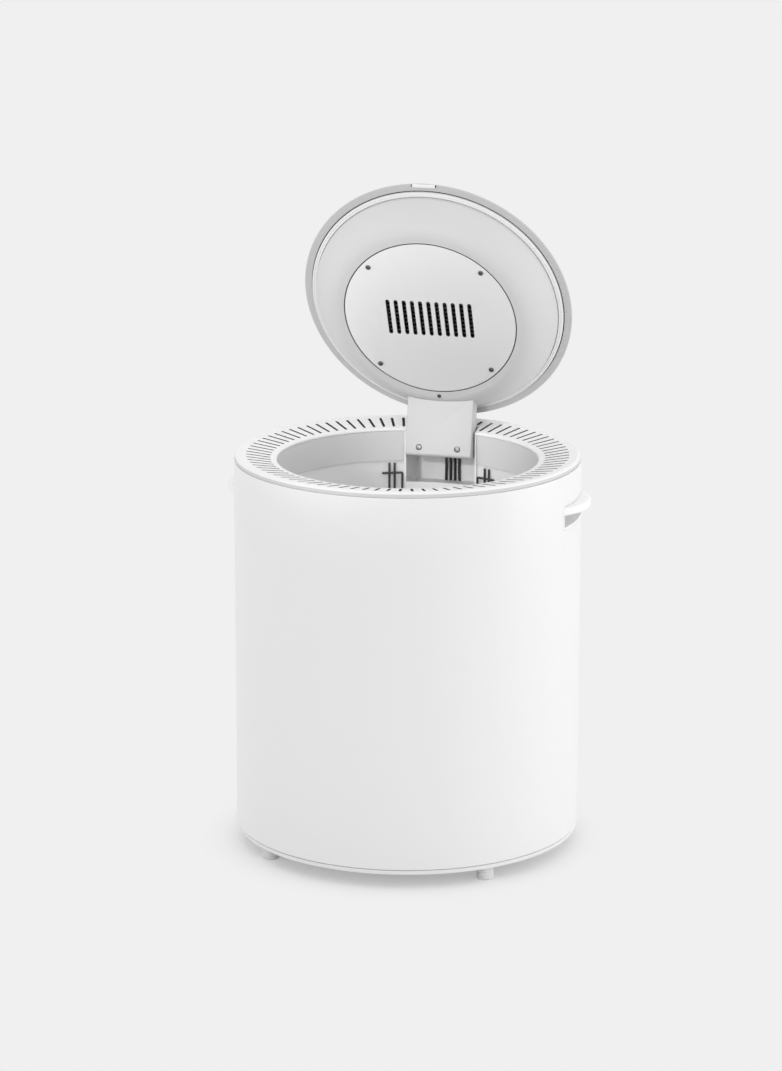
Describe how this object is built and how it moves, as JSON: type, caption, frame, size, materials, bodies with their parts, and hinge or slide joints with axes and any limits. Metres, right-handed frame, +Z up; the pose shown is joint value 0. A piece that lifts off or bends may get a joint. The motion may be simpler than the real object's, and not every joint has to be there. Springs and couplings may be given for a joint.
{
  "type": "portable clothes dryer",
  "caption": "Upright round drum clothes dryer with a slotted vent ring, side grips and a hinged heater lid leaning open on a rear arm.",
  "frame": {"origin": "centre of the base pan's flat underside, on the axis of the drum; the rubber feet reach below it", "axes": "+Z up along the drum's axis, -Y towards the front, the lid's hinge pin at the back along X; all pieces are in the same frame"},
  "size_m": [0.408, 0.3882, 0.7235],
  "materials": {
    "shell_white": "gloss",
    "ring_white": "satin",
    "base_white": "satin",
    "collar_grey": "satin",
    "liner_grey": "satin",
    "rim_grey": "satin",
    "well_grey": "satin",
    "gasket_grey": "matt",
    "rubber_grey": "matt",
    "drum_steel": "brushed",
    "plate_steel": "brushed",
    "wire_chrome": "polished",
    "screw_steel": "machined",
    "heater_alloy": "satin",
    "cable_black": "matt",
    "fan_black": "satin",
    "panel_black": "gloss",
    "board_green": "satin"
  },
  "bodies": {
    "cabinet": {"base_pan": "base_white", "foot_pads": "rubber_grey", "foot_screws": "screw_steel", "outer_shell": "shell_white", "side_handle_right": "shell_white", "side_handle_left": "shell_white", "top_ring": "ring_white", "inner_collar": "collar_grey", "inner_drum": "drum_steel", "drum_floor": "drum_steel", "hinge_well": "well_grey", "hinge_pin": "screw_steel", "hinge_cables": "cable_black", "cable_clamp": "well_grey", "wire_rack": "wire_chrome", "cord_gland": "cable_black"},
    "lid": {"lid_rim": "rim_grey", "lid_cover": "shell_white", "lid_liner": "liner_grey", "lid_gasket": "gasket_grey", "vent_plate": "plate_steel", "plate_screws": "screw_steel", "lid_catch": "ring_white", "arm_hood": "ring_white", "hood_screws": "screw_steel", "hinge_arm": "drum_steel", "hinge_bushes": "liner_grey", "heater_tray": "drum_steel", "heater_core": "heater_alloy", "thermostat": "cable_black", "fan_case": "fan_black", "fan_motor": "fan_black", "touch_panel": "panel_black", "control_board": "board_green"},
    "fan": {"fan_rotor": "fan_black"}
  },
  "joints": [
    {"name": "lid_hinge", "type": "hinge", "parent": "cabinet", "child": "lid", "pos_m": [0, 0.172, 0.4], "axis": [1, 0, 0], "range_deg": [0, 67]},
    {"name": "fan_spin", "type": "hinge", "parent": "lid", "child": "fan", "pos_m": [0, 0.12412, 0.56653], "axis": [0, 0.9205, 0.3907], "continuous": true}
  ]
}
